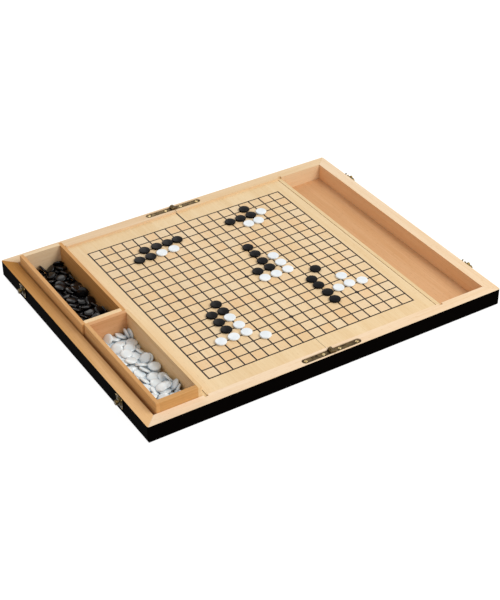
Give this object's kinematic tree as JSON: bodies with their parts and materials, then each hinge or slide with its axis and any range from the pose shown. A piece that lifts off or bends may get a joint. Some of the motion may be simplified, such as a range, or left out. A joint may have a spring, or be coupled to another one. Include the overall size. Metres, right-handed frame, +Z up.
{
  "type": "go board",
  "caption": "Folding wooden go board opened flat: a gridded playing surface on two hinged case halves with hook clasps, and lift-out trays holding black and white stones.",
  "frame": {"origin": "Centre of the open case's footprint, on the table it lies on.", "axes": "+X runs along the open case, from the half with the trays to the half with the hooks; +Y from the front rail to the back rail; +Z up."},
  "size_m": [0.474, 0.362, 0.036],
  "materials": {
    "rim_wood": "satin lacquered pale beech, black lacquer outside",
    "board_wood": "satin pale maple with dark cut lines",
    "panel_wood": "thin plywood, natural inside, black lacquer outside",
    "tray_wood": "satin lacquered beech",
    "aged_brass": "antique brass",
    "screw_brass": "worn brass",
    "black_stone": "satin black",
    "white_stone": "satin white"
  },
  "bodies": {
    "left_case": {"left_front_rail": "rim_wood", "left_back_rail": "rim_wood", "left_end_rail": "rim_wood", "left_spine_rail": "panel_wood", "left_bottom_panel": "panel_wood", "left_board_panel": "board_wood", "left_divider": "panel_wood", "left_panel_ledge": "panel_wood", "left_hinge_screws": "screw_brass", "left_plate_nails": "screw_brass", "front_hinge_left_leaf": "aged_brass", "back_hinge_left_leaf": "aged_brass", "front_hinge_pin": "aged_brass", "back_hinge_pin": "aged_brass", "front_catch_plate": "aged_brass", "back_catch_plate": "aged_brass", "catch_studs": "aged_brass"},
    "right_case": {"right_front_rail": "rim_wood", "right_back_rail": "rim_wood", "right_end_rail": "rim_wood", "right_spine_rail": "panel_wood", "right_bottom_panel": "panel_wood", "right_board_panel": "board_wood", "right_divider": "panel_wood", "right_panel_ledge": "panel_wood", "right_hinge_screws": "screw_brass", "right_plate_nails": "screw_brass", "front_hinge_right_leaf": "aged_brass", "back_hinge_right_leaf": "aged_brass", "front_hook_plate": "aged_brass", "back_hook_plate": "aged_brass", "hook_rivets": "aged_brass"},
    "front_hook_lever": {"front_hook": "aged_brass"},
    "back_hook_lever": {"back_hook": "aged_brass"},
    "left_black_group": {"left_black_stones": "black_stone"},
    "left_white_group": {"left_white_stones": "white_stone"},
    "right_black_group": {"right_black_stones": "black_stone"},
    "right_white_group": {"right_white_stones": "white_stone"},
    "white_tray": {"white_tray_left_wall": "tray_wood", "white_tray_right_wall": "tray_wood", "white_tray_front_wall": "tray_wood", "white_tray_back_wall": "tray_wood", "white_tray_floor": "tray_wood", "white_tray_stones": "white_stone"},
    "black_tray": {"black_tray_left_wall": "tray_wood", "black_tray_right_wall": "tray_wood", "black_tray_front_wall": "tray_wood", "black_tray_back_wall": "tray_wood", "black_tray_floor": "tray_wood", "black_tray_stones": "black_stone"}
  },
  "joints": [
    {"name": "fold", "type": "hinge", "parent": "left_case", "child": "right_case", "pos_m": [0, 0, 0.02365], "axis": [0, 1, 0], "range_deg": [-180, 0]},
    {"name": "front_hook_swing", "type": "hinge", "parent": "right_case", "child": "front_hook_lever", "pos_m": [0.233, -0.122, 0.018], "axis": [-1, 0, 0], "range_deg": [-75, 40]},
    {"name": "back_hook_swing", "type": "hinge", "parent": "right_case", "child": "back_hook_lever", "pos_m": [0.233, 0.118, 0.018], "axis": [-1, 0, 0], "range_deg": [-75, 40]},
    {"name": "white_tray_lift", "type": "slide", "parent": "left_case", "child": "white_tray", "axis": [0, 0, 1], "range_m": [0, 0.05]},
    {"name": "black_tray_lift", "type": "slide", "parent": "left_case", "child": "black_tray", "axis": [0, 0, 1], "range_m": [0, 0.05]},
    {"name": "left_black_stones_lift", "type": "slide", "parent": "left_case", "child": "left_black_group", "axis": [0, 0, 1], "range_m": [0, 0.02]},
    {"name": "left_white_stones_lift", "type": "slide", "parent": "left_case", "child": "left_white_group", "axis": [0, 0, 1], "range_m": [0, 0.02]},
    {"name": "right_black_stones_lift", "type": "slide", "parent": "right_case", "child": "right_black_group", "axis": [0, 0, 1], "range_m": [0, 0.02]},
    {"name": "right_white_stones_lift", "type": "slide", "parent": "right_case", "child": "right_white_group", "axis": [0, 0, 1], "range_m": [0, 0.02]}
  ]
}
